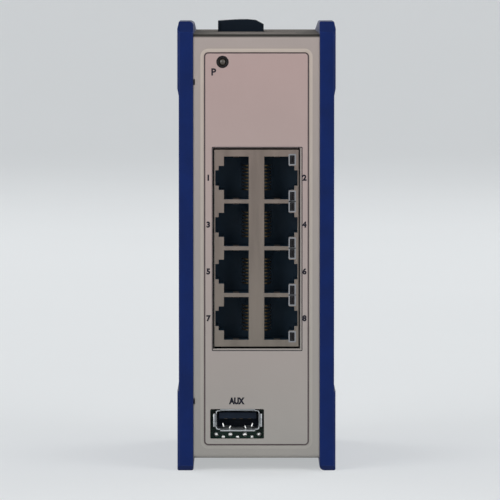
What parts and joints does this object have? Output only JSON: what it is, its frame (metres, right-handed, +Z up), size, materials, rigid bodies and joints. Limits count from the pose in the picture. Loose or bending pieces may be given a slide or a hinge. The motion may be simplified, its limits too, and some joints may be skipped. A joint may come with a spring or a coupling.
{
  "type": "din rail ethernet switch",
  "caption": "Slim upright network switch in a folded steel case with blue side covers, two columns of sockets, a service socket, a plug-in power connector on top and a sprung rail clip behind.",
  "frame": {"origin": "middle of the bounding box in plan, at the level of the lower ends of the two side covers, on which the case stands", "axes": "+X to the right as seen from the front, +Y from the front panel towards the rail clip at the back, +Z up"},
  "size_m": [0.0472, 0.117, 0.134],
  "materials": {
    "case_paint": "fine powder coat, warm light grey-beige",
    "chassis_steel": "fine powder coat, grey",
    "cover_blue": "fine moulded grain, cobalt blue",
    "label_foil": "satin printed foil, grey-beige",
    "tinned_shield": "dull tin plate, warm grey",
    "black_moulding": "satin black moulding",
    "gold_contact": "gold-plated, bright",
    "light_window": "milky light window",
    "usb_plate": "bright nickel plate",
    "solder_tin": "bright solder",
    "green_board": "green solder mask, satin",
    "lamp_lens": "dark translucent light guide",
    "chip_black": "matt black moulding",
    "heat_sink_black": "black anodised",
    "capacitor_can": "satin can",
    "crystal_can": "bright can",
    "zinc_plate": "bright zinc plate",
    "rail_steel": "zinc-plated pressed steel",
    "spring_steel": "bright spring wire",
    "plug_black": "satin blue-black moulding",
    "brass_clamp": "nickelled brass"
  },
  "bodies": {
    "housing": {"board_standoffs": "brass_clamp", "capacitor": "capacitor_can", "case_screws": "zinc_plate", "clock_crystal": "crystal_can", "front_shell": "case_paint", "heat_sink": "heat_sink_black", "jack_contacts": "gold_contact", "jack_housing": "black_moulding", "jack_shield": "tinned_shield", "label_foil": "label_foil", "lamp_holder": "black_moulding", "latch_spring": "spring_steel", "left_cover": "cover_blue", "main_board": "green_board", "memory_chip": "chip_black", "pan_head_screws": "zinc_plate", "port_lights": "light_window", "power_coil": "chip_black", "power_header": "plug_black", "power_pins": "solder_tin", "rail_bracket": "rail_steel", "rear_chassis": "chassis_steel", "right_cover": "cover_blue", "status_lamp": "lamp_lens", "switch_chip": "chip_black", "transformers": "chip_black", "usb_board": "green_board", "usb_contacts": "gold_contact", "usb_insulator": "black_moulding", "usb_link": "black_moulding", "usb_shell": "usb_plate", "usb_solder_joints": "solder_tin"},
    "power_plug": {"plug_body": "plug_black", "plug_contacts": "solder_tin", "wire_clamps": "brass_clamp"},
    "terminal_screw_1": {"terminal_screw_1": "zinc_plate"},
    "terminal_screw_2": {"terminal_screw_2": "zinc_plate"},
    "terminal_screw_3": {"terminal_screw_3": "zinc_plate"},
    "latch": {"rail_latch": "rail_steel"}
  },
  "joints": [
    {"name": "latch_slide", "type": "slide", "parent": "housing", "child": "latch", "axis": [0, 0, -1], "range_m": [0, 0.0035], "stiffness_N_per_m": 1000, "springref_m": -0.005, "deforming": ["latch_spring"]},
    {"name": "plug_pull", "type": "slide", "parent": "housing", "child": "power_plug", "axis": [0, 0, 1], "range_m": [0, 0.012]},
    {"name": "terminal_screw_1_turn", "type": "hinge", "parent": "power_plug", "child": "terminal_screw_1", "pos_m": [-0.0016, 0.00104, 0.127], "axis": [0, 0, 1], "continuous": true},
    {"name": "terminal_screw_2_turn", "type": "hinge", "parent": "power_plug", "child": "terminal_screw_2", "pos_m": [-0.0016, 0.00612, 0.127], "axis": [0, 0, 1], "continuous": true},
    {"name": "terminal_screw_3_turn", "type": "hinge", "parent": "power_plug", "child": "terminal_screw_3", "pos_m": [-0.0016, 0.0112, 0.127], "axis": [0, 0, 1], "continuous": true}
  ]
}
